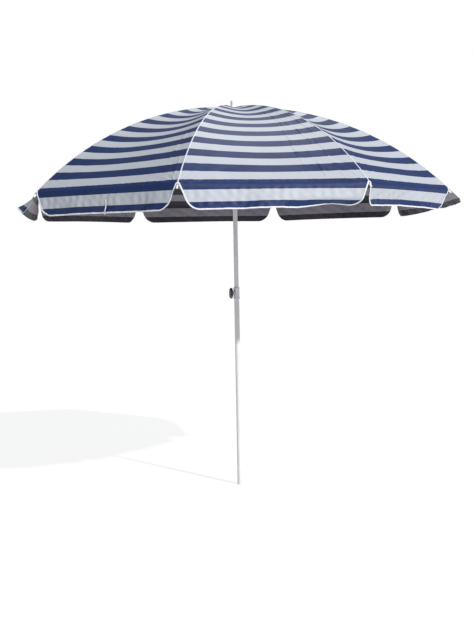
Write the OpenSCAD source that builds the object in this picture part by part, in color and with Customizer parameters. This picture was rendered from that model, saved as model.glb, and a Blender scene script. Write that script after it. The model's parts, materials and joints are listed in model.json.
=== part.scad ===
// Beach umbrella with a striped eight-rib canopy, a sliding runner and a two-part pole.
// Millimetres, +Z up. The origin is the centre of the pole's bottom end.

/* [Canopy] */
// Horizontal distance from the pole's axis to the canopy's fold line, at a rib
rim_r = 900; // [880:5:940]
// Height of the cloth at the crown, above the bottom of the pole
apex_z = 1622; // [1600:1:1700]
// Slope of the ribs at their tips, in degrees; they lie level at the crown
rim_slope = 45; // [42:1:48]
// Length of the hanging flaps, along the cloth
valance_drop = 91; // [80:1:110]
// Angle of the flaps outwards from straight down, in degrees
valance_flare = 14; // [5:1:20]
// Dip of the cloth half way between two ribs
gore_sag = 24; // [10:1:30]
// Thickness of the cloth with its coating
cloth_t = 0.8; // [0.6:0.1:1]

/* [Frame] */
// Radius of a rib's wire
rib_wire_r = 2; // [1.8:0.1:2]
// Length of a stretcher between its two pivots
stretcher_len = 320; // [300:5:325]
// Depth of the elbow pivot below a rib's centreline
elbow_drop = 10; // [9:0.5:11]
// Distance of the crown and runner pivots from the pole's axis
pivot_r = 18; // [18:0.5:19]

/* [Pole] */
// Outer radius of the lower tube
lower_r = 11; // [11:0.1:11.2]
// Outer radius of the upper tube
upper_r = 9.5; // [9.3:0.1:9.5]
// Height of the clamp collar's lower lip
collar_z = 808; // [780:1:815]
// Height of the clamp collar
collar_h = 48; // [46:1:50]
// Height of the upper tube's bottom end, inside the lower tube
upper_foot_z = 480; // [450:5:520]

/* [Hidden] */
$fn = 48;
GORES = 8;
GORE_ANGLE = 360 / GORES;
FIRST_RIB = GORE_ANGLE / 2;      // azimuth of rib 1
EPS = 0.01;

// Canopy arc: one radius, level at the crown and rim_slope at the rim
dome_r = rim_r / sin(rim_slope);
dome_z = apex_z - dome_r;        // height of the arc's centre
rim_z = dome_z + dome_r * cos(rim_slope);
half_gore = rim_r * sin(GORE_ANGLE / 2);
crown_hole = 5;
notch_top = 5;                   // half width of the notch at the fold
notch_foot = 40;                 // half width of the notch at the hem, before its corner
notch_power = 0.9;               // how soon the notch widens: 1 is a plain V
corner_r = 38;                   // radius of a flap's lower corner

// Ribs lie under the cloth on a slightly smaller arc
rib_gap = 6;
rib_arc_r = dome_r - rib_gap;
pivot_angle = asin(pivot_r / rib_arc_r);
crown_z = dome_z + rib_arc_r * cos(pivot_angle);
elbow_arc_r = rib_arc_r - elbow_drop;
elbow_step = acos((pow(rib_arc_r, 2) + pow(elbow_arc_r, 2) - pow(stretcher_len, 2))
    / (2 * rib_arc_r * elbow_arc_r));
elbow_angle = pivot_angle + elbow_step;
elbow_r = elbow_arc_r * sin(elbow_angle);
elbow_z = dome_z + elbow_arc_r * cos(elbow_angle);
runner_z = 2 * elbow_z - crown_z;
stretcher_rise = asin((crown_z - elbow_z) / stretcher_len);

// Eyes, pins and the ring wires
eye_r = 4;
eye_t = 3.6;
ring_r = 0.9;
ring_clear = 0.25;
slot_w = 5;
slot_in_r = 13.5;
flange_r = 24;
rivet_r = 1.5;
rivet_clear = 0.05;

// Rib tips
tip_r = 3.5;
tip_in = 16;                     // length of a tip's socket on the rib
tip_out = 12;                    // how far a tip stands out past the fold

// Stretcher channel
channel_w = 6;
channel_h = 5;
channel_wall = 0.7;
channel_inset = 17;

// Saddle that carries the elbow pivot
saddle_len = 10;
saddle_wall = 1;
saddle_gap = 4.1;
rivet_head_r = 2.6;
rivet_head_h = 0.9;

// Tubes
tube_wall = 1.1;
lower_bore = lower_r - tube_wall;
neck_r = lower_r - 0.3;
neck_h = 33;
collar_bore_clear = 0.05;
upper_bore = upper_r - tube_wall;
upper_top_z = crown_z - 2;
plug_h = 25;

// Runner, catch and stop
runner_down = 48;                // length of the runner below its pivots
runner_up = 12;
runner_bore = upper_r + 0.3;
catch_h = 16;
catch_w = 3;
catch_reach = 3.2;               // how far the catch stands out of the tube
catch_top_z = runner_z - runner_down - 0.6;
stop_r = 2;
stop_head_r = stop_r + 1;
stop_z = runner_z + runner_up + stop_head_r + 0.5;

// Clamp screw, along -X
screw_z = collar_z + collar_h / 2;
screw_r = 2.95;
boss_r = 8;
boss_x = 17;
nut_flats = 10;
nut_t = 4;
pad_t = 2;
knob_x = 18;                     // near face of the knob, from the pole's axis
knob_t = 12;
knob_r = 23;
knob_lobes = 6;
lobe_r = 7;

// Crown
stud_r = 2.5;
washer_r = 17;
washer_t = 1.4;
finial_r = 11;
finial_h = 28;

// Tie strap on the front left gore
strap_w = 6;
strap_len = 52;
strap_t = 1;
strap_shift = 14;                // from the middle of the gore towards rib 6
STRAP_RIB = 6;

// How finely the cloth is divided
RINGS = 12;
STEPS = 4;
SEAM_SHY = 0.9995;               // share of its half gore that each eighth covers
FLAP_DEPTHS = [0, 0.35, 0.65, 0.8, 0.9, 0.96, 1];

// ---- helpers ----

// Turns a shape drawn along +X to the azimuth of a rib
module at_rib(number) {
    rotate([0, 0, FIRST_RIB + (number - 1) * GORE_ANGLE]) children();
}

// Places a shape on the ribs' arc: local +Z points away from the arc's centre
module on_arc(angle) {
    translate([0, 0, dome_z]) rotate([0, angle, 0]) children();
}

// Cylinder along Y, centred
module pin_y(r, h) {
    rotate([90, 0, 0]) cylinder(r = r, h = h, center = true);
}

// Cylinder along X from x to x + h
module pin_x(r, x, h) {
    translate([x, 0, 0]) rotate([0, 90, 0]) cylinder(r = r, h = h);
}

module tube(r, bore, z, h) {
    translate([0, 0, z]) difference() {
        cylinder(r = r, h = h);
        translate([0, 0, -EPS]) cylinder(r = bore, h = h + 2 * EPS);
    }
}

// Slots for eight eyes, and the groove that holds the ring wire
module pivot_cuts(z, below, above) {
    for (i = [1:GORES])
        at_rib(i) translate([slot_in_r, -slot_w / 2, z - below - EPS])
            cube([flange_r, slot_w, below + above + 2 * EPS]);
    translate([0, 0, z]) rotate_extrude()
        translate([pivot_r - ring_r - 0.1, -ring_r - 0.1])
            square([flange_r, 2 * ring_r + 0.2]);
}

module ring_wire(z) {
    translate([0, 0, z]) rotate_extrude() translate([pivot_r, 0]) circle(r = ring_r);
}

// ---- pole ----

module lower_tube() {
    color("silver") difference() {
        union() {
            tube(lower_r, lower_bore, 0, collar_z);
            tube(neck_r, lower_bore, collar_z, neck_h);
        }
        translate([0, 0, screw_z]) pin_x(3.2, -lower_r - 1, lower_r);
    }
}

module foot_plug() {
    color("white") difference() {
        cylinder(r = lower_bore, h = plug_h);
        translate([0, 0, 4]) cylinder(r = lower_bore - 2.5, h = plug_h);
    }
}

module clamp_collar() {
    lip_r = lower_r + 3.8;
    lip_h = 3;
    wall_r = lower_r + 1.7;
    color("lightgray") difference() {
        translate([0, 0, collar_z]) union() {
            cylinder(r = wall_r, h = collar_h);
            cylinder(r = lip_r, h = lip_h);
            translate([0, 0, collar_h - lip_h]) cylinder(r = lip_r, h = lip_h);
            translate([0, 0, collar_h / 2]) pin_x(boss_r, -boss_x, boss_x);
        }
        translate([0, 0, collar_z - EPS]) cylinder(r = neck_r + collar_bore_clear, h = neck_h + EPS);
        translate([0, 0, collar_z]) cylinder(r = upper_r + 0.25, h = collar_h + 1);
        translate([0, 0, screw_z]) pin_x(3.2, -boss_x - 1, boss_x);
        translate([0, 0, screw_z]) rotate([0, -90, 0])
            translate([0, 0, boss_x - nut_t]) cylinder(d = nut_flats / cos(30), h = nut_t + 1, $fn = 6);
    }
}

module clamp_nut() {
    color("gray") translate([0, 0, screw_z]) rotate([0, -90, 0])
        translate([0, 0, boss_x - nut_t]) difference() {
            cylinder(d = (nut_flats - 0.1) / cos(30), h = nut_t, $fn = 6);
            translate([0, 0, -EPS]) cylinder(r = screw_r + 0.05, h = nut_t + 2 * EPS);
        }
}

module clamp_pad() {
    color("white") translate([0, 0, screw_z]) pin_x(2.8, -upper_r - 0.15 - pad_t, pad_t);
}

module clamp_screw() {
    tip_x = upper_r + 0.15 + pad_t;
    color("gray") translate([0, 0, screw_z]) pin_x(screw_r, -knob_x - knob_t + 4, knob_x + knob_t - 4 - tip_x);
}

module clamp_knob() {
    color("dimgray") translate([-knob_x, 0, screw_z]) rotate([0, -90, 0]) difference() {
        intersection() {
            linear_extrude(knob_t) union() {
                circle(r = knob_r - 4);
                for (k = [1:knob_lobes])
                    rotate(k * 360 / knob_lobes) translate([knob_r - lobe_r, 0]) circle(r = lobe_r);
            }
            rotate_extrude() polygon([
                [0, 0], [knob_r - 3, 0], [knob_r + 1, 4], [knob_r + 1, knob_t - 5],
                [knob_r - 4, knob_t], [0, knob_t]
            ]);
        }
        translate([0, 0, -EPS]) cylinder(r = screw_r + 0.02, h = knob_t - 4 + EPS);
    }
}

module upper_tube() {
    color("silver") difference() {
        tube(upper_r, upper_bore, upper_foot_z, upper_top_z - upper_foot_z);
        translate([0, 0, stop_z]) pin_y(stop_r + 0.02, 3 * upper_r);
        translate([0, -(catch_w + 1) / 2, catch_top_z - catch_h - 2])
            cube([upper_r + 1, catch_w + 1, catch_h + 3]);
    }
}

module tube_bush() {
    color("white") translate([0, 0, upper_foot_z]) difference() {
        union() {
            translate([0, 0, -8]) cylinder(r = upper_r + 0.25, h = 8);
            cylinder(r = upper_bore - 0.02, h = 20);
        }
        translate([0, 0, -8 - EPS]) cylinder(r = upper_bore - 2.5, h = 28 + 2 * EPS);
    }
}

module stop_pin() {
    color("gray") translate([0, 0, stop_z]) union() {
        pin_y(stop_r, 2 * upper_r + 1);
        for (side = [-1, 1])
            translate([0, side * (upper_r + 1), 0]) pin_y(stop_head_r, 1.4);
    }
}

module catch_spring() {
    color("gray") translate([0, -catch_w / 2, catch_top_z - catch_h]) union() {
        translate([upper_bore - 1.3, 0, -44]) cube([0.8, catch_w, catch_h + 56]);
        rotate([90, 0, 0]) translate([0, 0, -catch_w]) linear_extrude(catch_w)
            polygon([
                [upper_bore - 1, 0], [upper_bore - 1, catch_h], [upper_r + catch_reach, catch_h],
                [upper_r + catch_reach, catch_h - 3], [upper_r, 0]
            ]);
    }
}

// ---- crown ----

module crown_hub() {
    below = 12;
    above = 2;
    color("white") difference() {
        union() {
            translate([0, 0, crown_z - below]) cylinder(r = flange_r, h = below + above);
            translate([0, 0, crown_z - 32]) cylinder(r = 12.5, h = 32);
        }
        translate([0, 0, crown_z - 32 - EPS]) cylinder(r = upper_r + 0.02, h = upper_top_z - crown_z + 32 + EPS);
        pivot_cuts(crown_z, below, above);
        translate([0, 0, crown_z - 10]) cylinder(r = stud_r + 0.02, h = 20);
    }
}

module crown_ring() {
    color("gray") ring_wire(crown_z);
}

module crown_stud() {
    color("gray") translate([0, 0, crown_z - 8]) union() {
        cylinder(r = stud_r, h = apex_z + 16 - crown_z + 8);
        cylinder(r = stud_r + 2.5, h = 5.8, $fn = 6);
    }
}

module crown_washer() {
    color("white") translate([0, 0, apex_z + 0.1]) difference() {
        cylinder(r = washer_r, h = washer_t);
        translate([0, 0, -EPS]) cylinder(r = stud_r + 0.1, h = washer_t + 2 * EPS);
    }
}

module finial() {
    color("white") translate([0, 0, apex_z + 0.1 + washer_t]) difference() {
        rotate_extrude() union() {
            square([finial_r, finial_h - 5]);
            square([finial_r - 5, finial_h]);
            translate([finial_r - 5, finial_h - 5]) circle(r = 5);
        }
        translate([0, 0, -EPS]) cylinder(r = stud_r + 0.02, h = 15);
    }
}

// ---- runner ----

module runner() {
    below = 9;
    above = 4;
    color("white") difference() {
        union() {
            translate([0, 0, runner_z - below]) cylinder(r = flange_r, h = below + above);
            translate([0, 0, runner_z - runner_down]) cylinder(r = 13, h = runner_down);
            translate([0, 0, runner_z - runner_down]) cylinder(r = 15.5, h = 4);
            translate([0, 0, runner_z]) cylinder(r = 12.4, h = runner_up);
        }
        translate([0, 0, runner_z - runner_down - 1]) cylinder(r = runner_bore, h = runner_down + runner_up + 2);
        pivot_cuts(runner_z, below, above);
    }
}

module runner_ring() {
    color("gray") ring_wire(runner_z);
}

// ---- ribs and stretchers ----

module rib(number) {
    tip_start = rim_slope + (tip_out - 4) / rib_arc_r * 180 / PI;
    color("lightgray") at_rib(number) difference() {
        union() {
            translate([0, 0, dome_z]) rotate([90, 0, 0]) rotate([0, 0, 90 - tip_start])
                rotate_extrude(angle = tip_start - pivot_angle)
                    translate([rib_arc_r, 0]) circle(r = rib_wire_r);
            translate([pivot_r, 0, crown_z]) pin_y(eye_r, eye_t);
        }
        translate([pivot_r, 0, crown_z]) pin_y(ring_r + ring_clear, eye_t + 2);
    }
}

module rib_tip(number) {
    reach = tip_in + tip_out;
    color("white") at_rib(number) on_arc(rim_slope)
        translate([-tip_in, 0, rib_arc_r]) difference() {
            union() {
                pin_x(tip_r, 0, reach);
                translate([reach, 0, 0]) sphere(r = tip_r);
            }
            pin_x(rib_wire_r + 0.15, -1, reach - 3);
        }
}

module elbow_saddle(number) {
    top = rib_wire_r + 0.05;
    color("gray") at_rib(number) on_arc(elbow_angle) translate([0, 0, rib_arc_r]) {
        difference() {
            translate([-saddle_len / 2, -saddle_gap / 2 - saddle_wall, -elbow_drop - 4])
                cube([saddle_len, saddle_gap + 2 * saddle_wall, elbow_drop + 4 + top + saddle_wall]);
            translate([-saddle_len, -saddle_gap / 2, -elbow_drop - 5])
                cube([2 * saddle_len, saddle_gap, elbow_drop + 5 + top]);
            translate([0, 0, -elbow_drop]) pin_y(rivet_r + 0.02, 20);
        }
        translate([0, 0, -elbow_drop]) union() {
            pin_y(rivet_r, saddle_gap + 2 * saddle_wall + 0.1);
            for (side = [-1, 1])
                translate([0, side * ((saddle_gap + rivet_head_h) / 2 + saddle_wall + 0.03), 0])
                    pin_y(rivet_head_r, rivet_head_h);
        }
    }
}

module stretcher(number) {
    span = stretcher_len - 2 * channel_inset;
    color("gray") at_rib(number) translate([pivot_r, 0, runner_z]) rotate([0, -stretcher_rise, 0])
        difference() {
            union() {
                pin_y(eye_r, eye_t);
                translate([stretcher_len, 0, 0]) pin_y(eye_r, eye_t);
                translate([0, -eye_t / 2, -channel_h / 2]) cube([stretcher_len, eye_t, channel_h]);
                translate([channel_inset, -channel_w / 2, -channel_h / 2]) cube([span, channel_w, channel_h]);
            }
            translate([channel_inset + 6, -channel_w / 2 + channel_wall, -channel_h / 2 - EPS])
                cube([span - 12, channel_w - 2 * channel_wall, channel_h - channel_wall]);
            pin_y(ring_r + ring_clear, eye_t + 2);
            translate([stretcher_len, 0, 0]) pin_y(rivet_r + rivet_clear, eye_t + 2);
        }
}

// ---- canopy ----

// Dip of the cloth between two ribs, at an angle down the arc
function dip(angle) = gore_sag * sin(180 * angle / rim_slope);

// Point on the cloth: t is 0 on the rib and 1 half way to the next; side is -1 or 1
function cloth_point(angle, t, side) =
    let (r = dome_r * sin(angle), along = r * sin(GORE_ANGLE / 2) * t)
    [
        r - along * sin(GORE_ANGLE / 2),
        side * along * cos(GORE_ANGLE / 2),
        dome_z + dome_r * cos(angle) - dip(angle) * (1 - pow(1 - t, 2))
    ];

// Half width of the notch between two flaps, at a depth below the fold
function notch(depth) =
    let (in_corner = max(0, depth - valance_drop + corner_r))
    notch_top + (notch_foot - notch_top) * pow(depth / valance_drop, notch_power)
        + corner_r - sqrt(max(0, pow(corner_r, 2) - pow(in_corner, 2)));

// Point on a flap, at a distance from the rib along the fold and a depth below it
function flap_point(depth, along, side) =
    let (fold = cloth_point(rim_slope, along / half_gore, side), out = depth * sin(valance_flare))
    fold + [
        out * cos(GORE_ANGLE / 2),
        side * out * sin(GORE_ANGLE / 2),
        -depth * cos(valance_flare)
    ];

// Where a flap starts: just inside the cloth, so that the two are one piece
function flap_root(along, side) =
    let (p = cloth_point(rim_slope - 0.1, along / half_gore, side))
    p + cloth_t / 3 * inward(p);

// Direction into the cloth's thickness
function inward(p) = [-p[0], -p[1], dome_z - p[2]] / norm([p[0], p[1], p[2] - dome_z]);

// Closed sheet through a grid of points, given as a list of equal rows
module sheet(rows) {
    n = len(rows);
    m = len(rows[0]);
    outer = [for (row = rows) each row];
    inner = [for (p = outer) p + cloth_t * inward(p)];
    size = n * m;
    function at(i, j) = i * m + j;
    polyhedron(
        points = concat(outer, inner),
        faces = concat(
            [for (i = [0:n - 2], j = [0:m - 2]) each [
                [at(i, j), at(i, j + 1), at(i + 1, j + 1)],
                [at(i, j), at(i + 1, j + 1), at(i + 1, j)],
                [size + at(i, j), size + at(i + 1, j + 1), size + at(i, j + 1)],
                [size + at(i, j), size + at(i + 1, j), size + at(i + 1, j + 1)]
            ]],
            [for (i = [0:n - 2]) each [
                [at(i, 0), at(i + 1, 0), size + at(i + 1, 0)],
                [at(i, 0), size + at(i + 1, 0), size + at(i, 0)],
                [at(i, m - 1), size + at(i + 1, m - 1), at(i + 1, m - 1)],
                [at(i, m - 1), size + at(i, m - 1), size + at(i + 1, m - 1)]
            ]],
            [for (j = [0:m - 2]) each [
                [at(0, j), size + at(0, j + 1), at(0, j + 1)],
                [at(0, j), size + at(0, j), size + at(0, j + 1)],
                [at(n - 1, j), at(n - 1, j + 1), size + at(n - 1, j + 1)],
                [at(n - 1, j), size + at(n - 1, j + 1), size + at(n - 1, j)]
            ]]
        )
    );
}

module canopy(number) {
    start = asin(crown_hole / dome_r);
    angles = [for (i = [0:RINGS]) start + (rim_slope - start) * i / RINGS];
    color(number % 2 == 0 ? "navy" : "midnightblue") at_rib(number) union() {
        sheet([for (angle = angles) [for (j = [-STEPS:STEPS])
            cloth_point(angle, SEAM_SHY * abs(j) / STEPS, sign(j))]]);
        for (side = [-1, 1]) {
            span = [for (j = [0:STEPS]) side > 0 ? j / STEPS : 1 - j / STEPS];
            sheet([for (d = FLAP_DEPTHS) [for (t = span)
                let (depth = d * valance_drop, edge = notch(depth),
                    along = edge + (SEAM_SHY * half_gore - edge) * t)
                d == 0 ? flap_root(along, side) : flap_point(depth, along, side)
            ]]);
        }
    }
}

module tie_strap() {
    top = 40;
    gap = 0.6;
    mid_r = rim_r * cos(GORE_ANGLE / 2);
    color("white") at_rib(STRAP_RIB) rotate([0, 0, -GORE_ANGLE / 2])
        translate([mid_r + top * sin(valance_flare) + gap, strap_shift, rim_z - top * cos(valance_flare)])
            rotate([0, -valance_flare, 0]) translate([0, -strap_w / 2, -strap_len])
                cube([strap_t, strap_w, strap_len]);
}

lower_tube();
foot_plug();
clamp_collar();
clamp_nut();
clamp_pad();
clamp_screw();
clamp_knob();
upper_tube();
tube_bush();
crown_hub();
crown_ring();
crown_stud();
crown_washer();
finial();
stop_pin();
catch_spring();
runner();
runner_ring();
tie_strap();
for (i = [1:GORES]) {
    rib(i);
    elbow_saddle(i);
    rib_tip(i);
    stretcher(i);
    canopy(i);
}
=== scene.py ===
"""Beach umbrella: the cloth, its trim and every finish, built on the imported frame. Metres."""
import json
import math
import bpy
import numpy as np
from mathutils import Matrix, Vector


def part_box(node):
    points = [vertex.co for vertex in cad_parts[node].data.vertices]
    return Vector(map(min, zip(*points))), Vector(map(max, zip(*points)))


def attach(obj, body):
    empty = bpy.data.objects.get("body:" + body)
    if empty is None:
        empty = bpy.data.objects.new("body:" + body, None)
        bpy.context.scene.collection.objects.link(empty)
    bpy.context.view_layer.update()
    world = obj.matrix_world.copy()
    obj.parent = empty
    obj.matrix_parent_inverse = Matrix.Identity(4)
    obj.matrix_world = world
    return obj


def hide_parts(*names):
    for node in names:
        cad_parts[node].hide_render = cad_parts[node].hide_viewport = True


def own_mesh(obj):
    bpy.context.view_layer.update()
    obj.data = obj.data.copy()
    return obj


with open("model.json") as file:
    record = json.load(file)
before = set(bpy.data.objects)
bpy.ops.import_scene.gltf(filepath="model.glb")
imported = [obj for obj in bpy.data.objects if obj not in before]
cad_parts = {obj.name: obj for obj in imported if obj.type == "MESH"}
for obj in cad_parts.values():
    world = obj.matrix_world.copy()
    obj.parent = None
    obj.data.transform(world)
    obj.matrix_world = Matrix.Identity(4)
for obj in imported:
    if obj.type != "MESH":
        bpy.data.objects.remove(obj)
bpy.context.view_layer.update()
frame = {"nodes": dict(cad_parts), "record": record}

# ---------------------------------------------------------------- driving sizes

GORES = 8
GORE = math.radians(360 / GORES)
HALF = GORE / 2
RIM_R = 0.900                       # fold line at a rib, from the pole's axis
SLOPE = math.radians(45)            # rib slope at the rim
APEX_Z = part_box("crown_washer")[0][2] - 0.0001
DOME_R = RIM_R / math.sin(SLOPE)
DOME_Z = APEX_Z - DOME_R
ARC = DOME_R * SLOPE                # rib length along the cloth
HALF_EDGE = RIM_R * math.sin(HALF)  # half a gore's fold line
SAG = 0.024
DROP = 0.091                        # flap length along the cloth
CROWN_HOLE = 0.005
CLOTH_T = 0.0006
RIB_GAP = 0.006                     # rib's centreline below the cloth's outer face
FOLD_ROLL = 0.009                   # half the width of the rolled fold

STRIPE = 0.043                      # one stripe, square to the hem
STRIPE_START = 0.023                # navy above the fold
NOTCH_TOP = 0.005
NOTCH_FOOT = 0.040
NOTCH_POWER = 0.9
CORNER_R = 0.038

TAPE_W = 0.0054                     # binding along the flaps' edges
TAPE_T = 0.0011
TAPE_OVERHANG = 0.0006              # binding past the cloth's edge
SEAM_W = 0.0042                     # white line along each rib
SEAM_T = 0.0009
STITCH_OFFSET = 0.0052              # rows of stitches each side of a rib's seam
ARCH_RISE = 0.0065                  # binding's arch over a rib, above the fold

# How each flap hangs, by gore: flare in degrees at its first rib, middle and second rib, lift of
# the hem in its middle, height and phase of its ripples, where its hem curls and by how much
FLAPS = {
    1: (4, 2, 3, 0.03, 0.0030, 0.3, 0.4, 8),
    2: (3, 3, 4, 0.03, 0.0030, 1.9, -0.3, 10),
    3: (4, 5, 8, 0.04, 0.0030, 2.4, 0.2, 8),
    4: (-8, 53, 26, 0.02, 0.0040, 0.9, 0.1, 10),
    5: (4, 3, 4, 0.02, 0.0045, 2.9, -0.2, -12),
    6: (4, 16, 10, 0.02, 0.0040, 1.1, 0.62, -74),
    7: (-26, -15, -12, 0.13, 0.0040, 0.2, 0.1, 12),
    8: (62, 30, -2, 0.02, 0.0035, 1.4, 0.0, 10),
}
CURL_SPAN = 0.42                    # how much of a flap's length the curl takes, as a share of half
CURL_START = 0.50                   # where the curl starts down the flap, as a share of its depth
CURL_BEND = 0.22                    # depth over which it bends, as a share too
BEND_STEPS = 12                     # straight steps that a flap's profile is summed over
CRINKLE = 0.0012                    # height of the small creases in a flap

# Long folds that run down a gore, where the cloth is pulled towards a rib: places across the gore
LONG_FOLDS = {5: (0.80, 0.9), 6: (0.42, 0.55, 0.66, 0.78, 0.88), 7: (-0.86, -0.74)}


# ---------------------------------------------------------------- cloth surface

def rib_azimuth(number):
    return HALF + (number - 1) * GORE


def smooth(x):
    x = np.clip(x, 0.0, 1.0)
    return x * x * (3 - 2 * x)


def creases(gore, d, t):
    """Small folds in the cloth of a gore, as a height off the surface."""
    along = HALF_EDGE * (np.clip((d + ARC) / ARC, 0.02, 1.0))
    height = 0                                                # folds radiate from both ribs' tips
    for side in (-1, 1):
        across = np.maximum((1 - side * t) * along, 0)        # from that rib
        up = np.maximum(-d, 0)                                # from the fold
        reach = np.hypot(across, up) + 1e-6
        angle = np.arctan2(across, up + 1e-6)
        rays = np.sin(angle * 17 + gore * 1.7 + side)
        fade = smooth(reach / 0.05) * np.exp(-reach / 0.17)
        edge = smooth(across / 0.012)
        height = height + 0.0011 * rays * fade * edge * smooth(angle / 0.25)
        pucker = np.sin(d * 2 * math.pi / 0.031 + gore + 2 * side)
        height = height + 0.0003 * pucker * edge * np.exp(-across / 0.03) * smooth(up / 0.05)
    for k, place in enumerate(LONG_FOLDS.get(gore, ())):
        line = place + 0.025 * np.sin(d * 9 + 2 * k)
        ridge = np.exp(-((t - line) / 0.014) ** 2) * np.sin(d * 6 + 1.9 * k) ** 2
        height = height + 0.0020 * ridge * smooth((d + ARC - 0.2) / 0.2) * smooth(-d / 0.06)
    lumps = np.sin(t * 47 + gore) * np.sin(t * 19 + 2 * gore) + 0.5 * np.sin(t * 81 + d * 120)
    height = height + 0.0009 * lumps * np.exp(-((d + 0.016) / 0.011) ** 2) * smooth((1 - np.abs(t)) / 0.06)
    broad = np.sin(d * 11 + gore * 2.1) * np.cos(t * 2.6 + gore)
    return height + 0.0022 * broad * (1 - t * t) * smooth(-d / 0.08) * smooth((d + ARC) / 0.15)


def canopy_point(gore, d, t):
    """A point on the dome: d is the arc length below the fold (negative), t runs -1..1."""
    angle = SLOPE + d / DOME_R
    middle = rib_azimuth(gore) + HALF
    r = DOME_R * np.sin(angle)
    out = r * math.cos(HALF)
    side = r * math.sin(HALF) * t
    dip = SAG * np.sin(np.clip(math.pi * angle / SLOPE, 0, math.pi)) * (1 - t * t)
    lift = creases(gore, d, t)
    out = out + lift * np.sin(angle)
    z = DOME_Z + DOME_R * np.cos(angle) - dip + lift * np.cos(angle)
    return np.stack([
        out * math.cos(middle) - side * math.sin(middle),
        out * math.sin(middle) + side * math.cos(middle),
        z,
    ], -1)


def flap_point(gore, d, t):
    """A point on a flap: d is the length below the fold, t runs -1..1 along it."""
    first, middle_flare, second, rise, ripple, phase, curl_at, curl = FLAPS[gore]
    flare = middle_flare + (second - first) / 2 * t + ((first + second) / 2 - middle_flare) * t * t
    bend = curl * np.exp(-((t - curl_at) / CURL_SPAN) ** 2)
    length = d * (1 - rise * (1 - t * t))
    out, down = 0, 0
    for k in range(BEND_STEPS):
        reach = length * (k + 0.5) / BEND_STEPS
        lean = np.radians(flare + bend * smooth((reach - CURL_START * DROP) / (CURL_BEND * DROP)))
        out = out + np.sin(lean) * length / BEND_STEPS
        down = down + np.cos(lean) * length / BEND_STEPS
    waves = np.sin(t * 5.1 + phase) + 0.6 * np.sin(t * 11.3 + 2 * phase) \
        + 0.3 * np.sin(t * 23 + 3.1 * phase + d * 30)
    crinkle = np.sin(t * 41 + d * 95 + phase) * np.sin(t * 17 - d * 60 + 2 * phase) \
        + 0.6 * np.sin(t * 63 - d * 70 + 3 * phase) * np.sin(d * 75 + t * 9)
    swing = ripple * waves * smooth(d / 0.09) + CRINKLE * crinkle * smooth(d / 0.03)
    facing = np.radians(flare)
    out = RIM_R * math.cos(HALF) + out + swing * np.cos(facing)
    z = DOME_Z + DOME_R * math.cos(SLOPE) - down + swing * np.sin(facing)
    side = HALF_EDGE * t
    middle = rib_azimuth(gore) + HALF
    return np.stack([
        out * math.cos(middle) - side * math.sin(middle),
        out * math.sin(middle) + side * math.cos(middle),
        z,
    ], -1)


def cloth_point(gore, d, t):
    """A point on the outer face of the cloth, with a rolled fold between dome and flap."""
    d = np.asarray(d, float)
    t = np.asarray(t, float)
    d, t = np.broadcast_arrays(d, t)
    b = FOLD_ROLL
    above = canopy_point(gore, np.minimum(d, -b), t)
    below = flap_point(gore, np.maximum(d, b), t)
    corner = (canopy_point(gore, np.zeros_like(d), t) + flap_point(gore, np.zeros_like(d), t)) / 2
    u = np.clip((d + b) / (2 * b), 0, 1)[..., None]
    roll = above * (1 - u) ** 2 + corner * 2 * u * (1 - u) + below * u ** 2
    dd = d[..., None]
    return np.where(dd <= -b, above, np.where(dd >= b, below, roll))


def cloth_normal(gore, d, t):
    """Outward normal of the cloth."""
    e = 0.0015
    step_d = cloth_point(gore, d + e, t) - cloth_point(gore, d - e, t)
    width = np.maximum(HALF_EDGE * np.clip((d + ARC) / ARC, 0.01, 1), 0.002)
    step_t = cloth_point(gore, d, t + e / width) - cloth_point(gore, d, t - e / width)
    n = np.cross(step_d, step_t)
    return n / np.maximum(np.linalg.norm(n, axis=-1, keepdims=True), 1e-12)


def notch(d):
    """Half width of the gap between two flaps at a depth below the fold."""
    d = np.clip(d, 0, DROP)
    into = np.maximum(0, d - DROP + CORNER_R)
    corner = CORNER_R - np.sqrt(np.maximum(0, CORNER_R ** 2 - into ** 2))
    return NOTCH_TOP + (NOTCH_FOOT - NOTCH_TOP) * (d / DROP) ** NOTCH_POWER + corner


def stripe_coordinate(d):
    """Distance below the fold as the stripes count it, square to the hem."""
    return np.where(d < 0, d * math.cos(HALF), d)


# ---------------------------------------------------------------- mesh building

def half_gore_grid(gore, side):
    """Rows of (d, t) for the half of a gore next to one rib; side -1 is the gore's first rib."""
    columns = 42
    u = np.linspace(0, 1, columns) ** 1.15
    canopy = np.concatenate([
        -ARC + CROWN_HOLE + (ARC - CROWN_HOLE - 0.05) * np.linspace(0, 1, 52),
        np.linspace(-0.05, 0, 12)[1:],
    ])
    flap = np.concatenate([
        np.linspace(0, DROP - CORNER_R, 16)[1:],
        DROP - CORNER_R + CORNER_R * np.sin(np.linspace(0, math.pi / 2, 9))[1:],
    ])
    rows = []
    for d in canopy:
        rows.append((np.full(columns, d), side * (1 - u)))
    for d in flap:
        edge = notch(d) / HALF_EDGE
        rows.append((np.full(columns, d), side * (1 - edge) * (1 - u)))
    d = np.array([r[0] for r in rows])
    t = np.array([r[1] for r in rows])
    return d, t


def strip_faces(rows, columns, flip=False):
    faces = []
    for i in range(rows - 1):
        for j in range(columns - 1):
            a = i * columns + j
            for triangle in ((a, a + columns, a + columns + 1), (a, a + columns + 1, a + 1)):
                faces.append(triangle[::-1] if flip else triangle)
    return faces


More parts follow.
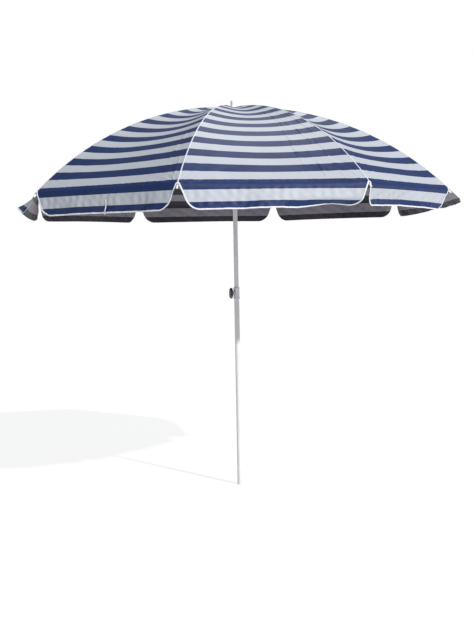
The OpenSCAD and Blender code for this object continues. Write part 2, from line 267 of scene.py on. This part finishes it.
class Builder:
    """Collects points, faces, per-corner normals and cloth coordinates for one mesh."""

    def __init__(self):
        self.points, self.faces, self.normals, self.coords, self.slots = [], [], [], [], []
        self.count = 0

    def grid(self, points, normals, coords, flip=False, slot=0):
        rows, columns = points.shape[:2]
        self.points.append(points.reshape(-1, 3))
        base = self.count
        n = normals.reshape(-1, 3)
        c = coords.reshape(-1, 2)
        faces = np.array(strip_faces(rows, columns, flip))
        corner, second, third = (points.reshape(-1, 3)[faces[:, k]] for k in range(3))
        area = np.linalg.norm(np.cross(second - corner, third - corner), axis=1) / 2
        for face in faces[area > 1e-12].tolist():
            self.faces.append([base + k for k in face])
            self.slots.append(slot)
            self.normals.extend(n[k] for k in face)
            self.coords.extend(c[k] for k in face)
        self.count += rows * columns

    def pyramid(self, corners, normal):
        """A low four-sided pyramid: four base corners in order, then the top."""
        base = self.count
        self.points.append(corners)
        top = corners[4]
        for k in range(4):
            face = (k, (k + 1) % 4, 4)
            a, b = corners[face[0]], corners[face[1]]
            n = np.cross(b - a, top - a)
            if np.dot(n, normal) < 0:
                face, n = face[::-1], -n
            n = n / max(np.linalg.norm(n), 1e-12)
            self.faces.append([base + j for j in face])
            self.slots.append(0)
            self.normals.extend([n] * 3)
            self.coords.extend([(corners[j][0], corners[j][2]) for j in face])
        upward = np.dot(np.cross(corners[1] - corners[0], corners[3] - corners[0]), normal) > 0
        under = (3, 2, 1, 0) if upward else (0, 1, 2, 3)
        self.faces.append([base + j for j in under])
        self.slots.append(0)
        self.normals.extend([-normal] * 4)
        self.coords.extend([(0, 0)] * 4)
        self.count += 5

    def object(self, name, *materials):
        mesh = bpy.data.meshes.new(name)
        mesh.from_pydata([tuple(p) for p in np.concatenate(self.points)], [], self.faces)
        layer = mesh.uv_layers.new(name="cloth")
        layer.data.foreach_set("uv", np.array(self.coords, float).ravel())
        mesh.polygons.foreach_set("use_smooth", [True] * len(mesh.polygons))
        mesh.normals_split_custom_set([tuple(n) for n in self.normals])
        for material in materials:
            mesh.materials.append(material)
        mesh.polygons.foreach_set("material_index", self.slots)
        obj = bpy.data.objects.new(name, mesh)
        bpy.context.scene.collection.objects.link(obj)
        return obj


def shell(builder, gore, d, t, side):
    """Adds both faces of a piece of cloth and the thin faces round its edges."""
    flip = side > 0
    outer = cloth_point(gore, d, t)
    normal = cloth_normal(gore, d, t)
    inner = outer - normal * CLOTH_T
    coords = np.stack([HALF_EDGE * (t - side), stripe_coordinate(d)], -1)
    builder.grid(outer, normal, coords, flip)
    builder.grid(inner, -normal, coords, not flip, slot=1)
    for cut, turn in (((slice(None), 0), False), ((slice(None), -1), True), ((0, slice(None)), True),
                      ((-1, slice(None)), False)):
        a, b, c = outer[cut], inner[cut], coords[cut]
        points = np.stack([a, b], 1)
        run = np.gradient(a, axis=0)
        face_n = np.cross(run, b - a)
        if turn:
            face_n = -face_n
        face_n = face_n / np.maximum(np.linalg.norm(face_n, axis=-1, keepdims=True), 1e-12)
        if side > 0:
            face_n = -face_n
        builder.grid(points, np.stack([face_n, face_n], 1), np.stack([c, c], 1), turn != flip)


def swept_band(builder, centre, across, normal, width, height):
    """A low rounded band along a line of points, lying on the cloth."""
    profile = [(-0.5, 0.0), (-0.46, 0.55), (-0.3, 0.92), (0.0, 1.0), (0.3, 0.92), (0.46, 0.55),
               (0.5, 0.0), (0.0, -0.12), (-0.5, 0.0)]
    rings = np.stack([centre + across * (x * width) + normal * (y * height) for x, y in profile], 1)
    angles = [math.atan2(y, x) if y > 0 else (-1.57 if x == 0 else math.atan2(0.2, x)) for x, y in profile]
    norms = np.stack([across * math.cos(a) + normal * math.sin(a) for a in angles], 1)
    span = np.concatenate([[0], np.cumsum(np.linalg.norm(np.diff(centre, axis=0), axis=1))])
    coords = np.stack([
        np.repeat(span[:, None], len(profile), 1),
        np.repeat(np.array([x for x, _ in profile])[None] * width, len(span), 0),
    ], -1)
    builder.grid(rings, norms, coords)
    for end, facing in ((0, -1), (-1, 1)):
        ring = rings[end]
        along = (centre[1] - centre[0]) if end == 0 else (centre[-1] - centre[-2])
        along = facing * along / max(np.linalg.norm(along), 1e-9)
        fan = np.stack([ring, np.repeat(centre[end][None], len(ring), 0)], 0)
        builder.grid(fan, np.broadcast_to(along, fan.shape), np.zeros(fan.shape[:2] + (2,)), facing < 0)


def gore_beside(number, side):
    """The gore on one side of a rib: side -1 where the rib is the gore's first, +1 its second."""
    return number if side < 0 else (number - 2) % GORES + 1


def soften(obj, number):
    """The piece follows its rib, on a mesh of its own."""
    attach(obj, f"rib_{number}")
    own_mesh(obj)


# ---------------------------------------------------------------- materials

def new_material(name):
    material = bpy.data.materials.new(name)
    material.use_nodes = True
    nodes = material.node_tree.nodes
    shader = nodes["Principled BSDF"]
    return material, material.node_tree, nodes, shader


def noise_bump(tree, shader, scale, distance, strength, detail):
    """Fine grain in the surface, in the object's own coordinates."""
    nodes, links = tree.nodes, tree.links
    where = nodes.new("ShaderNodeTexCoord")
    texture = nodes.new("ShaderNodeTexNoise")
    texture.inputs["Scale"].default_value = scale
    texture.inputs["Detail"].default_value = detail
    links.new(where.outputs["Object"], texture.inputs["Vector"])
    bump = nodes.new("ShaderNodeBump")
    bump.inputs["Distance"].default_value = distance
    bump.inputs["Strength"].default_value = strength
    links.new(texture.outputs["Fac"], bump.inputs["Height"])
    links.new(bump.outputs["Normal"], shader.inputs["Normal"])


def ramp(tree, value, low, high, dark, light):
    """A colour or grey that goes from dark to light as value goes from low to high."""
    node = tree.nodes.new("ShaderNodeValToRGB")
    node.color_ramp.elements[0].position = low
    node.color_ramp.elements[1].position = high
    node.color_ramp.elements[0].color = (*dark, 1)
    node.color_ramp.elements[1].color = (*light, 1)
    tree.links.new(value, node.inputs["Fac"])
    return node.outputs["Color"]


def math_node(tree, operation, a, b=None):
    node = tree.nodes.new("ShaderNodeMath")
    node.operation = operation
    for k, value in enumerate((a, b)):
        if value is None:
            continue
        if isinstance(value, (int, float)):
            node.inputs[k].default_value = value
        else:
            tree.links.new(value, node.inputs[k])
    return node.outputs["Value"]


def mix_color(tree, factor, a, b):
    node = tree.nodes.new("ShaderNodeMix")
    node.data_type = "RGBA"
    for name, value in (("Factor", factor), ("A", a), ("B", b)):
        socket = next(s for s in node.inputs if s.name == name and
                      (s.type == "RGBA" if name != "Factor" else s.type == "VALUE"))
        tree.links.new(value, socket)
    return next(s for s in node.outputs if s.type == "RGBA")


NAVY = (0.008, 0.022, 0.090)
WHITE = (0.45, 0.480, 0.538)
# Inner face of the same cloth: its stripes show through, and both colours are darkened to stand for the
# shade under the canopy, which is painted shade
SHADED_INNER_NAVY = (0.018, 0.015, 0.026)
SHADED_INNER_WHITE = (0.215, 0.20, 0.23)


def canopy_cloth(name, navy_colour, white_colour, sheen):
    """Coated polyester: woven navy and white stripes with a fine plain weave."""
    material, tree, nodes, shader = new_material(name)
    uv = nodes.new("ShaderNodeUVMap")
    uv.uv_map = "cloth"
    split = nodes.new("ShaderNodeSeparateXYZ")
    tree.links.new(uv.outputs["UV"], split.inputs["Vector"])
    u, v = split.outputs["X"], split.outputs["Y"]

    # Stripe: a sawtooth along v, its edge slightly uneven like a printed or woven edge
    edge = nodes.new("ShaderNodeTexNoise")
    edge.inputs["Scale"].default_value = 160
    tree.links.new(uv.outputs["UV"], edge.inputs["Vector"])
    wander = math_node(tree, "MULTIPLY", math_node(tree, "SUBTRACT", edge.outputs["Fac"], 0.5), 0.0012)
    phase = math_node(tree, "ADD", math_node(tree, "ADD", v, wander), STRIPE_START + 40 * STRIPE)
    saw = math_node(tree, "MODULO", phase, 2 * STRIPE)
    inside = math_node(tree, "LESS_THAN", saw, STRIPE)

    # Weave: two crossed sets of threads about 0.5 mm apart
    threads = 2 * math.pi / 0.0005
    warp = math_node(tree, "SINE", math_node(tree, "MULTIPLY", u, threads))
    weft = math_node(tree, "SINE", math_node(tree, "MULTIPLY", v, threads))
    weave = math_node(tree, "MULTIPLY", warp, weft)

    blotch = nodes.new("ShaderNodeTexNoise")
    blotch.inputs["Scale"].default_value = 9
    blotch.inputs["Detail"].default_value = 5
    tree.links.new(uv.outputs["UV"], blotch.inputs["Vector"])
    slub = nodes.new("ShaderNodeTexNoise")
    slub.inputs["Scale"].default_value = 60
    slub.inputs["Detail"].default_value = 3
    stretch = nodes.new("ShaderNodeMapping")
    stretch.inputs["Scale"].default_value = (1, 9, 1)
    tree.links.new(uv.outputs["UV"], stretch.inputs["Vector"])
    tree.links.new(stretch.outputs["Vector"], slub.inputs["Vector"])

    navy = ramp(tree, blotch.outputs["Fac"], 0.3, 0.7, navy_colour, tuple(1.28 * c for c in navy_colour))
    white = ramp(tree, blotch.outputs["Fac"], 0.3, 0.7, tuple(0.95 * c for c in white_colour), white_colour)
    colour = mix_color(tree, inside, white, navy)
    streak = ramp(tree, slub.outputs["Fac"], 0.35, 0.65, (0.93, 0.93, 0.93), (1, 1, 1))
    shade = nodes.new("ShaderNodeMix")
    shade.data_type = "RGBA"
    shade.blend_type = "MULTIPLY"
    shade.inputs[0].default_value = 1.0
    tree.links.new(colour, shade.inputs[6])
    tree.links.new(streak, shade.inputs[7])
    tree.links.new(shade.outputs[2], shader.inputs["Base Color"])

    gloss = nodes.new("ShaderNodeMapRange")
    gloss.inputs["To Min"].default_value = 0.46
    gloss.inputs["To Max"].default_value = 0.60
    tree.links.new(slub.outputs["Fac"], gloss.inputs["Value"])
    tree.links.new(gloss.outputs["Result"], shader.inputs["Roughness"])
    shader.inputs["Specular IOR Level"].default_value = sheen
    shader.inputs["Sheen Weight"].default_value = sheen / 12
    shader.inputs["Sheen Roughness"].default_value = 0.35

    bump = nodes.new("ShaderNodeBump")
    bump.inputs["Distance"].default_value = 0.00004
    bump.inputs["Strength"].default_value = 0.5
    tree.links.new(weave, bump.inputs["Height"])
    soft = nodes.new("ShaderNodeBump")
    soft.inputs["Distance"].default_value = 0.0012
    soft.inputs["Strength"].default_value = 0.35
    tree.links.new(blotch.outputs["Fac"], soft.inputs["Height"])
    tree.links.new(bump.outputs["Normal"], soft.inputs["Normal"])
    tree.links.new(soft.outputs["Normal"], shader.inputs["Normal"])
    return material


def tape_cloth(name, colour, rough=0.55):
    """Woven tape or thread: ribbed across its width."""
    material, tree, nodes, shader = new_material(name)
    uv = nodes.new("ShaderNodeUVMap")
    uv.uv_map = "cloth"
    wave = nodes.new("ShaderNodeTexWave")
    wave.inputs["Scale"].default_value = 260
    wave.inputs["Distortion"].default_value = 0.6
    tree.links.new(uv.outputs["UV"], wave.inputs["Vector"])
    shade = ramp(tree, wave.outputs["Fac"], 0.0, 1.0, tuple(0.88 * c for c in colour), colour)
    tree.links.new(shade, shader.inputs["Base Color"])
    shader.inputs["Roughness"].default_value = rough
    shader.inputs["Sheen Weight"].default_value = 0.2
    bump = nodes.new("ShaderNodeBump")
    bump.inputs["Distance"].default_value = 0.00015
    bump.inputs["Strength"].default_value = 0.6
    tree.links.new(wave.outputs["Fac"], bump.inputs["Height"])
    tree.links.new(bump.outputs["Normal"], shader.inputs["Normal"])
    return material


def painted_tube(name, colour):
    """Powder-coated steel tube, faintly brushed by sliding and by sand."""
    material, tree, nodes, shader = new_material(name)
    noise_bump(tree, shader, 900, 0.00003, 0.5, 3)
    scuffs = nodes.new("ShaderNodeTexNoise")
    scuffs.inputs["Scale"].default_value = 22
    scuffs.inputs["Detail"].default_value = 8
    where = nodes.new("ShaderNodeTexCoord")
    mapping = nodes.new("ShaderNodeMapping")
    mapping.inputs["Scale"].default_value = (6, 6, 0.5)
    tree.links.new(where.outputs["Object"], mapping.inputs["Vector"])
    tree.links.new(mapping.outputs["Vector"], scuffs.inputs["Vector"])
    shade = ramp(tree, scuffs.outputs["Fac"], 0.32, 0.62, tuple(0.86 * c for c in colour), colour)
    tree.links.new(shade, shader.inputs["Base Color"])
    rough = nodes.new("ShaderNodeMapRange")
    rough.inputs["To Min"].default_value = 0.28
    rough.inputs["To Max"].default_value = 0.46
    tree.links.new(scuffs.outputs["Fac"], rough.inputs["Value"])
    tree.links.new(rough.outputs["Result"], shader.inputs["Roughness"])
    shader.inputs["Coat Weight"].default_value = 0.15
    return material


def moulded_plastic(name, colour, rough):
    """Injection-moulded plastic with a fine spark-eroded grain."""
    material, tree, nodes, shader = new_material(name)
    noise_bump(tree, shader, 1400, 0.00004, 0.6, 2)
    tone = nodes.new("ShaderNodeTexNoise")
    tone.inputs["Scale"].default_value = 35
    tone.inputs["Detail"].default_value = 4
    where = nodes.new("ShaderNodeTexCoord")
    tree.links.new(where.outputs["Object"], tone.inputs["Vector"])
    shade = ramp(tree, tone.outputs["Fac"], 0.3, 0.7, tuple(0.9 * c for c in colour), colour)
    tree.links.new(shade, shader.inputs["Base Color"])
    range_node = nodes.new("ShaderNodeMapRange")
    range_node.inputs["To Min"].default_value = rough - 0.06
    range_node.inputs["To Max"].default_value = rough + 0.08
    tree.links.new(tone.outputs["Fac"], range_node.inputs["Value"])
    tree.links.new(range_node.outputs["Result"], shader.inputs["Roughness"])
    return material


def plated_steel(name, colour, rough):
    """Zinc-plated or galvanised steel with drawing marks and dull spots."""
    material, tree, nodes, shader = new_material(name)
    noise_bump(tree, shader, 500, 0.00003, 0.5, 3)
    spots = nodes.new("ShaderNodeTexNoise")
    spots.inputs["Scale"].default_value = 70
    spots.inputs["Detail"].default_value = 6
    where = nodes.new("ShaderNodeTexCoord")
    tree.links.new(where.outputs["Object"], spots.inputs["Vector"])
    shade = ramp(tree, spots.outputs["Fac"], 0.35, 0.65, tuple(0.72 * c for c in colour), colour)
    tree.links.new(shade, shader.inputs["Base Color"])
    range_node = nodes.new("ShaderNodeMapRange")
    range_node.inputs["To Min"].default_value = rough - 0.08
    range_node.inputs["To Max"].default_value = rough + 0.14
    tree.links.new(spots.outputs["Fac"], range_node.inputs["Value"])
    tree.links.new(range_node.outputs["Result"], shader.inputs["Roughness"])
    shader.inputs["Metallic"].default_value = 1.0
    return material


def finish_nodes(finishes):
    """Gives every CAD node its finish by the record's material slot."""
    slots = {row["node"]: row["material_slot"] for row in frame["record"]["subparts"]}
    for name, obj in frame["nodes"].items():
        material = finishes.get(slots[name])
        if material is None:
            continue
        if not obj.material_slots:
            obj.data.materials.append(material)
        for k in range(len(obj.material_slots)):
            obj.material_slots[k].material = material


# ---------------------------------------------------------------- pieces

def make_canopy(number, outside, shaded_inner_cloth):
    """One eighth of the canopy, over a rib, as a thin closed sheet."""
    builder = Builder()
    for side in (-1, 1):
        gore = gore_beside(number, side)
        d, t = half_gore_grid(gore, side)
        shell(builder, gore, d, t, side)
    # the second material is the inner face's, which carries painted shade
    obj = builder.object(f"canopy_cloth_{number}", outside, shaded_inner_cloth)
    soften(obj, number)
    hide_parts(f"canopy_{number}")


def edge_line(inset):
    """(d, along) from a notch's top round the flap's corner to the middle of the gore."""
    down = np.concatenate([
        np.linspace(0.0, DROP - CORNER_R, 14),
        DROP - CORNER_R + CORNER_R * np.sin(np.linspace(0, math.pi / 2, 20))[1:],
    ])
    edge = notch(down)
    bottom = np.linspace(edge[-1], HALF_EDGE, 34)[1:]
    d = np.concatenate([down, np.full(len(bottom), DROP)])
    along = np.concatenate([edge, bottom])
    run_d, run_a = np.gradient(d), np.gradient(along)
    size = np.hypot(run_d, run_a)
    return d - inset * run_a / size, along + inset * run_d / size


def on_both_sides(number, d, across):
    """Points on the cloth near a rib: across is the distance from it, negative on one side."""
    points, normals = [], []
    for side in (-1, 1):
        gore = gore_beside(number, side)
        t = side * (1 - np.abs(across) / HALF_EDGE)
        points.append(cloth_point(gore, d, t))
        normals.append(cloth_normal(gore, d, t))
    pick = (across >= 0)[..., None]
    return np.where(pick, points[0], points[1]), np.where(pick, normals[0], normals[1])


def band_across(centre, normal):
    run = np.gradient(centre, axis=0)
    run = run / np.maximum(np.linalg.norm(run, axis=-1, keepdims=True), 1e-12)
    across = np.cross(normal, run)
    return across / np.maximum(np.linalg.norm(across, axis=-1, keepdims=True), 1e-12)


def binding_path(inset):
    """(d, across) of the whole binding beside one rib, hem to hem, arching over the rib."""
    d, along = edge_line(inset)
    turn = np.linspace(0, math.pi, 11)[1:-1]
    top = along[0]
    d = np.concatenate([d[::-1], d[0] - ARCH_RISE * np.sin(turn), d])
    across = np.concatenate([along[::-1], top * np.cos(turn), -along])
    return d, across


def make_binding(number, material):
    """White binding tape round the edges of the two half flaps beside a rib, arched over its tip."""
    builder = Builder()
    d, across = binding_path(TAPE_W / 2 - TAPE_OVERHANG)
    centre, normal = on_both_sides(number, d, across)
    swept_band(builder, centre, band_across(centre, normal), normal, TAPE_W, TAPE_T)
    obj = builder.object(f"flap_binding_{number}", material)
    soften(obj, number)


def make_seam(number, material):
    """The raised white line along a rib, where two gores are sewn together."""
    builder = Builder()
    d = np.linspace(-ARC + 0.018, -0.001, 90)
    gore = gore_beside(number, -1)
    centre = cloth_point(gore, d, np.full_like(d, -1.0))
    azimuth = rib_azimuth(number)
    across = np.broadcast_to([-math.sin(azimuth), math.cos(azimuth), 0], centre.shape)
    angle = SLOPE + d / DOME_R
    level = np.sin(angle)
    normal = np.stack([level * math.cos(azimuth), level * math.sin(azimuth), np.cos(angle)], -1)
    swept_band(builder, centre - normal * 0.0002, across, normal, SEAM_W, SEAM_T)
    obj = builder.object(f"rib_seam_{number}", material)
    soften(obj, number)


def dashes(builder, centre, normal, spacing=0.0052, length=0.0036, width=0.0007, height=0.0004):
    """A row of stitches along a line of points: one small raised dash each."""
    run = np.linalg.norm(np.diff(centre, axis=0), axis=1)
    total = np.concatenate([[0], np.cumsum(run)])
    starts = np.arange(spacing, total[-1] - spacing, spacing)

    def at(distance, values):
        return np.stack([np.interp(distance, total, values[:, k]) for k in range(3)], -1)

    a, b = at(starts, centre), at(starts + length, centre)
    up = at(starts, normal)
    along = (b - a) / np.maximum(np.linalg.norm(b - a, axis=1, keepdims=True), 1e-9)
    side = np.cross(up, along) * width / 2
    low = -0.3 * height * up
    for k in range(len(starts)):
        top = (a[k] + b[k]) / 2 + height * up[k]
        corners = np.array([a[k] + low[k], (a[k] + b[k]) / 2 - side[k] + low[k], b[k] + low[k],
                            (a[k] + b[k]) / 2 + side[k] + low[k], top])
        builder.pyramid(corners, up[k])


def make_seam_stitches(number, material):
    """A row of stitches each side of the seam over a rib, and one round the binding."""
    builder = Builder()
    d = np.linspace(-ARC + 0.03, -0.012, 160)
    for offset in (-STITCH_OFFSET, STITCH_OFFSET):
        centre, normal = on_both_sides(number, d, np.full_like(d, offset))
        dashes(builder, centre, normal)
    d, across = binding_path(TAPE_W / 2 - TAPE_OVERHANG)
    centre, normal = on_both_sides(number, d, across)
    dashes(builder, centre + TAPE_T * 0.95 * normal, normal)
    obj = builder.object(f"seam_stitches_{number}", material)
    soften(obj, number)


def make_pocket(number, material):
    """A folded patch of cloth sewn over the rib's end, under the canopy's corner."""
    builder = Builder()
    rows, columns = 10, 17
    d = np.linspace(-0.034, -0.004, rows)[:, None] * np.ones((1, columns))
    half = 0.0115
    across = np.linspace(half, -half, columns)[None] * np.ones((rows, 1))
    points, normals = on_both_sides(number, d, across)
    rib_depth = 0.0106
    bulge = np.sqrt(np.clip(1 - (across / (half * 0.8)) ** 2, 0, 1))
    sunk = points - normals * (CLOTH_T + 0.0004 + rib_depth * bulge)[..., None]
    coords = np.stack([across, d], -1)
    step_a, step_b = np.gradient(sunk, axis=0), np.gradient(sunk, axis=1)
    facing = np.cross(step_a, step_b)
    facing = facing / np.maximum(np.linalg.norm(facing, axis=-1, keepdims=True), 1e-12)
    if np.mean(np.sum(facing * normals, -1)) > 0:
        facing = -facing
    builder.grid(sunk, facing, coords)
    builder.grid(sunk - facing * CLOTH_T, -facing, coords, flip=True)
    # the pocket takes the inner face's colours, which carry painted shade
    obj = builder.object(f"tip_pocket_{number}", material)
    soften(obj, number)


TIE_PLACES = (0.30, 0.56, 0.80)     # share of a rib's length where the cloth is tied to it


def make_ties(number, material):
    """Tape loops that hold the cloth to the rib's wire."""
    builder = Builder()
    azimuth = rib_azimuth(number)
    radial = np.array([math.cos(azimuth), math.sin(azimuth), 0])
    sideways = np.array([-math.sin(azimuth), math.cos(azimuth), 0])
    for place in TIE_PLACES:
        angle = SLOPE * place
        up = radial * math.sin(angle) + np.array([0, 0, math.cos(angle)])
        along = radial * math.cos(angle) - np.array([0, 0, math.sin(angle)])
        centre = np.array([0, 0, DOME_Z]) + up * (DOME_R - RIB_GAP)
        turn = np.linspace(0, 2 * math.pi, 25)
        lift = np.where(np.cos(turn) > 0, RIB_GAP - 0.0029, 0) * np.clip(np.cos(turn), 0, 1) ** 0.6
        ring = centre + sideways * (0.0026 * np.sin(turn))[:, None] \
            + up * (0.0026 * np.cos(turn) + lift)[:, None]
        normal = sideways * np.sin(turn)[:, None] + up * np.cos(turn)[:, None]
        swept_band(builder, ring, np.broadcast_to(-along, ring.shape), normal, 0.006, 0.0007)
    obj = builder.object(f"rib_ties_{number}", material)
    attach(obj, f"rib_{number}")


STRAP_RIB = 6
STRAP_SHIFT = 0.014
STRAP_TOP = 0.040                   # depth of the strap's sewn end below the fold
STRAP_LENGTH = 0.053
STRAP_W = 0.0062


def make_tie_strap(material):
    """The strap that ties the folded umbrella: sewn on at its top, with a loop at its end."""
    builder = Builder()
    gore = gore_beside(STRAP_RIB, 1)
    t = 1 - (HALF_EDGE - STRAP_SHIFT) / HALF_EDGE
    d = np.linspace(STRAP_TOP, STRAP_TOP + STRAP_LENGTH * 0.82, 26)
    bend = 0.0035 * np.sin((d - STRAP_TOP) * 75)
    centre = cloth_point(gore, d, t + bend / HALF_EDGE)
    normal = cloth_normal(gore, d, t + bend / HALF_EDGE)
    away = 0.0008 + 0.004 * smooth((d - STRAP_TOP - 0.008) / 0.03)
    centre = centre + normal * away[:, None]
    swept_band(builder, centre, band_across(centre, normal), normal, STRAP_W, 0.0009)
    down = centre[-1] - centre[-2]
    down = down / np.linalg.norm(down)
    side = np.cross(normal[-1], down)
    turn = np.linspace(0, 2 * math.pi, 29)
    loop = centre[-1] + down * 0.0052 + down * (0.0060 * -np.cos(turn))[:, None] \
        + side * (0.0042 * np.sin(turn))[:, None]
    swept_band(builder, loop, band_across(loop, np.broadcast_to(normal[-1], loop.shape)),
               np.broadcast_to(normal[-1], loop.shape), 0.0022, 0.0012)
    stitch = np.stack([centre[k] - side * 0.002 + normal[k] * 0.0008 for k in range(0, 5)])
    dashes(builder, stitch, normal[:5], 0.0012, 0.001, 0.0006)
    patch = centre[2] + normal[2] * 0.0009 + side * (np.linspace(-0.0026, 0.0026, 8))[:, None]
    dashes(builder, patch, np.broadcast_to(normal[2], patch.shape), 0.0011, 0.0009, 0.0006)
    obj = builder.object("tie_strap_tape", material)
    soften(obj, STRAP_RIB)
    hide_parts("tie_strap")


AMBIENT = 0.3                       # strength of the sky
SHEEN_LIGHT = 60                    # watts of the panel overhead
SUN_LIGHT = 3.5
SUN_SPREAD = math.radians(1.6)      # small, so that the canopy's shadow has an edge on the pole
SUN_TURN = math.radians(-57)        # the key light's azimuth, from +X
SUN_HEIGHT = math.radians(34)


def add_stage():
    """Pale floor, soft lights and the sky."""
    white, _, _, shader = new_material("studio_floor")
    shader.inputs["Base Color"].default_value = (0.2, 0.2, 0.2, 1)
    shader.inputs["Roughness"].default_value = 0.9
    shader.inputs["Specular IOR Level"].default_value = 0.1
    shader.inputs["Emission Color"].default_value = (1, 1, 1, 1)
    shader.inputs["Emission Strength"].default_value = 0.83
    mesh = bpy.data.meshes.new("studio_floor")
    reach = 60
    corners = [(-reach, -reach, 0), (reach, -reach, 0), (reach, reach, 0), (-reach, reach, 0)]
    mesh.from_pydata(corners, [], [(0, 1, 2, 3)])
    mesh.materials.append(white)
    floor = bpy.data.objects.new("studio_floor", mesh)
    bpy.context.scene.collection.objects.link(floor)

    world = bpy.data.worlds.new("studio")
    world.use_nodes = True
    nodes, links = world.node_tree.nodes, world.node_tree.links
    sky = nodes["Background"]
    sky.inputs["Color"].default_value = (0.88, 0.95, 1.0, 1)
    sky.inputs["Strength"].default_value = AMBIENT
    paper = nodes.new("ShaderNodeBackground")
    paper.inputs["Color"].default_value = (1, 1, 1, 1)
    rays = nodes.new("ShaderNodeLightPath")
    choose = nodes.new("ShaderNodeMixShader")
    links.new(rays.outputs["Is Camera Ray"], choose.inputs["Fac"])
    links.new(sky.outputs["Background"], choose.inputs[1])
    links.new(paper.outputs["Background"], choose.inputs[2])
    links.new(choose.outputs["Shader"], nodes["World Output"].inputs["Surface"])
    bpy.context.scene.world = world
    bpy.context.scene.view_settings.view_transform = "Standard"

    def light(name, kind, place, target, energy, size=None, size_y=None, colour=(1, 1, 1)):
        data = bpy.data.lights.new(name, kind)
        data.energy = energy
        data.color = colour
        if kind == "AREA":
            data.shape = "RECTANGLE"
            data.size = size
            data.size_y = size_y or size
        if kind == "SUN":
            data.angle = size
        obj = bpy.data.objects.new(name, data)
        obj.location = place
        obj.rotation_euler = (Vector(target) - Vector(place)).to_track_quat("-Z", "Y").to_euler()
        bpy.context.scene.collection.objects.link(obj)
        return obj

    light("sky_above", "AREA", (0.75, 1.5, 5.2), (0, -0.45, 1.5), SHEEN_LIGHT, 1.4, 3.0)
    level = math.cos(SUN_HEIGHT)
    sun = (math.cos(SUN_TURN) * level, math.sin(SUN_TURN) * level, math.sin(SUN_HEIGHT))
    light("sun", "SUN", sun, (0, 0, 0), SUN_LIGHT, SUN_SPREAD, colour=(1, 0.98, 0.95))


# Camera: where the photograph was taken from, round the origin
CAMERA_TURN = math.radians(9.85)    # towards -X from straight in front
CAMERA_DISTANCE = 4.482
CAMERA_HEIGHT = 1.029
CAMERA_TILT = math.radians(-3.776)
CAMERA_ROLL = math.radians(-1.05)
CAMERA_LENS = 59.4


def add_camera():
    ahead = Vector((math.sin(CAMERA_TURN), math.cos(CAMERA_TURN), 0))
    right = Vector((ahead.y, -ahead.x, 0))
    up = Vector((0, 0, 1))
    look = ahead * math.cos(CAMERA_TILT) + up * math.sin(CAMERA_TILT)
    top = up * math.cos(CAMERA_TILT) - ahead * math.sin(CAMERA_TILT)
    x_axis = right * math.cos(CAMERA_ROLL) + top * math.sin(CAMERA_ROLL)
    y_axis = top * math.cos(CAMERA_ROLL) - right * math.sin(CAMERA_ROLL)
    place = -ahead * CAMERA_DISTANCE + up * CAMERA_HEIGHT
    data = bpy.data.cameras.new("camera")
    data.lens = CAMERA_LENS
    data.sensor_width = 36
    camera = bpy.data.objects.new("camera", data)
    turn = Matrix((x_axis, y_axis, -look)).transposed().to_4x4()
    camera.matrix_world = Matrix.Translation(place) @ turn
    bpy.context.scene.collection.objects.link(camera)
    bpy.context.scene.camera = camera


# ---------------------------------------------------------------- the scene

add_camera()
add_stage()

cloth = canopy_cloth("canopy_cloth", NAVY, WHITE, 0.25)
# Inner face and tip pockets: the cloth with painted shade, darker than the outer face
shaded_inner_cloth = canopy_cloth("canopy_inner_painted_shade", SHADED_INNER_NAVY, SHADED_INNER_WHITE, 0.3)
tape = tape_cloth("binding_tape", (0.74, 0.76, 0.84))
seam_tape = tape_cloth("seam_tape", (0.70, 0.73, 0.84))
thread = tape_cloth("stitching_thread", (0.62, 0.64, 0.72), 0.6)
finishes = {
    "tube": painted_tube("upper_tube_paint", (0.70, 0.72, 0.75)),
    "tube_lower": painted_tube("lower_tube_paint", (0.70, 0.71, 0.70)),
    "white_plastic": moulded_plastic("white_plastic", (0.86, 0.86, 0.85), 0.42),
    "grey_plastic": moulded_plastic("grey_plastic", (0.70, 0.71, 0.75), 0.45),
    "dark_plastic": moulded_plastic("dark_plastic", (0.045, 0.045, 0.05), 0.4),
    "steel_wire": plated_steel("steel_wire", (0.58, 0.59, 0.61), 0.35),
    "zinc": plated_steel("zinc_plate", (0.6, 0.61, 0.63), 0.38),
    "strap_cloth": tape,
}
finish_nodes(finishes)

for number in range(1, GORES + 1):
    make_canopy(number, cloth, shaded_inner_cloth)
    make_binding(number, tape)
    make_seam(number, seam_tape)
    make_seam_stitches(number, thread)
    make_pocket(number, shaded_inner_cloth)
    make_ties(number, tape)
make_tie_strap(tape)
